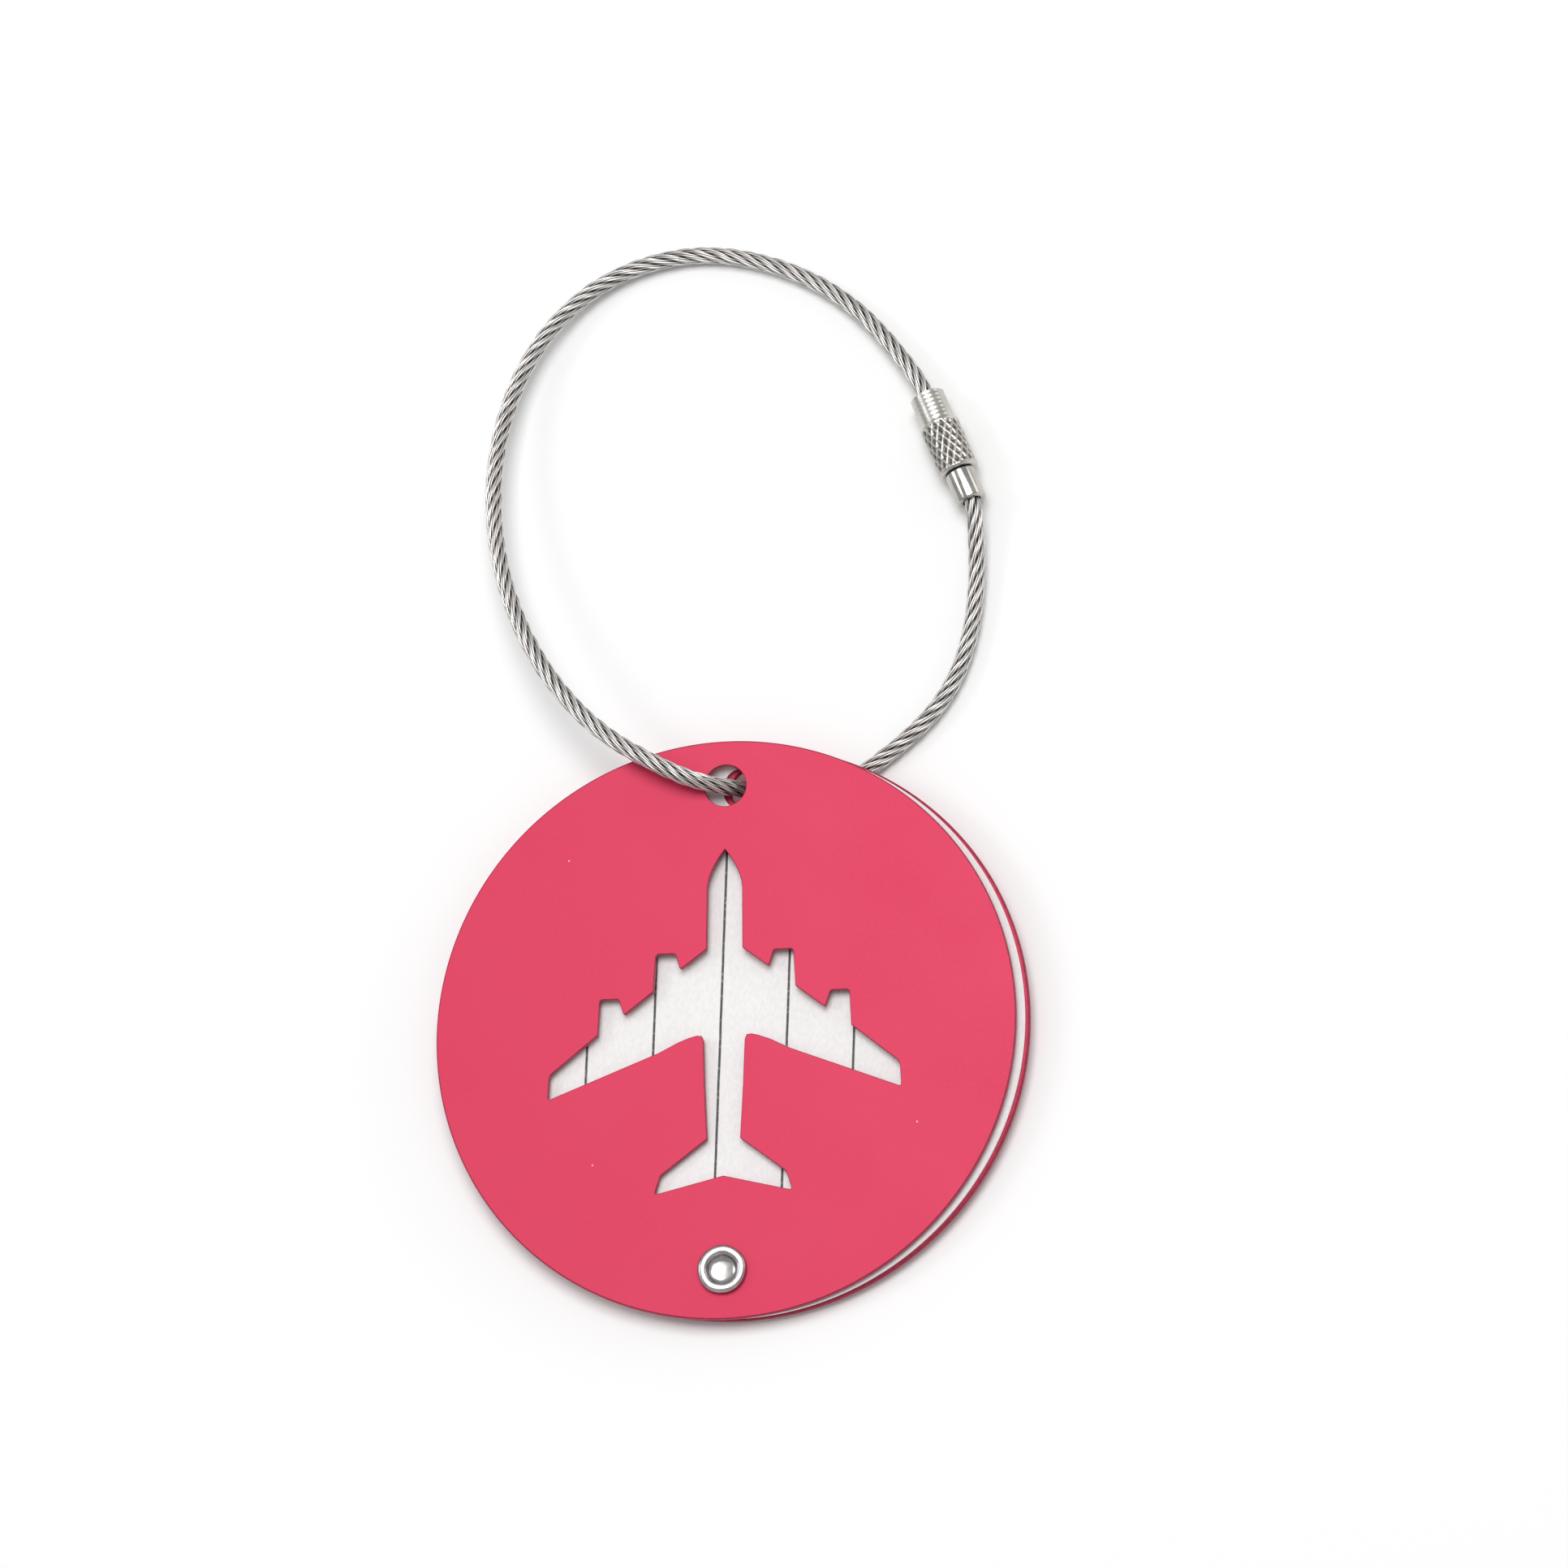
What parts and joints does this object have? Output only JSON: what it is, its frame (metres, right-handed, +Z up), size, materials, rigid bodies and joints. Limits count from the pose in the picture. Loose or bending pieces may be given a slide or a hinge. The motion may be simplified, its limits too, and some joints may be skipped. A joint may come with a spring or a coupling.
{
  "type": "luggage tag",
  "caption": "Round luggage tag: two riveted anodised discs, the front one with an aeroplane window, an address card between them, and a wire-rope loop with a screw clasp.",
  "frame": {"origin": "under the middle of the plates, on the surface the tag lies on", "axes": "+Z up out of the front plate's face, +Y from the rivet towards the loop, +X to the right seen from the front"},
  "size_m": [0.0551, 0.1044, 0.0074],
  "materials": {
    "red_anodised": "satin anodised, pink-red",
    "card": "white card with thin ruled lines",
    "nickel": "bright nickel plate",
    "rope_steel": "stranded stainless wire rope"
  },
  "bodies": {
    "tag": {"front_plate": "red_anodised", "pivot_rivet": "nickel", "wire_rope": "rope_steel", "screw_end": "nickel"},
    "rear": {"rear_plate": "red_anodised"},
    "card": {"address_card": "card"},
    "stop": {"stop_collar": "nickel"},
    "barrel": {"clasp_barrel": "nickel"}
  },
  "joints": [
    {"name": "rear_pivot", "type": "hinge", "parent": "tag", "child": "rear", "pos_m": [-0.00027, -0.02245, 0.00065], "axis": [0, -0.0323, 0.9995], "range_deg": [0, 2.6], "deforming": ["wire_rope"]},
    {"name": "card_pivot", "type": "hinge", "parent": "tag", "child": "card", "pos_m": [-0.00027, -0.02248, 0.00135], "axis": [0, -0.0323, 0.9995], "range_deg": [0, 2]},
    {"name": "collar_slide", "type": "slide", "parent": "tag", "child": "stop", "axis": [-0.3907, 0.9205, 0], "range_m": [0, 0.0025], "deforming": ["wire_rope"]},
    {"name": "barrel_spin", "type": "hinge", "parent": "stop", "child": "barrel", "pos_m": [0.01844, 0.05678, 0.00192], "axis": [-0.3907, 0.9205, 0], "range_deg": [0, 1801]}
  ],
  "couplings": [
    {"joint": "card_pivot", "follows": "rear_pivot", "ratio": 0.7547},
    {"joint": "barrel_spin", "follows": "collar_slide", "rad_per_m": 12566}
  ]
}
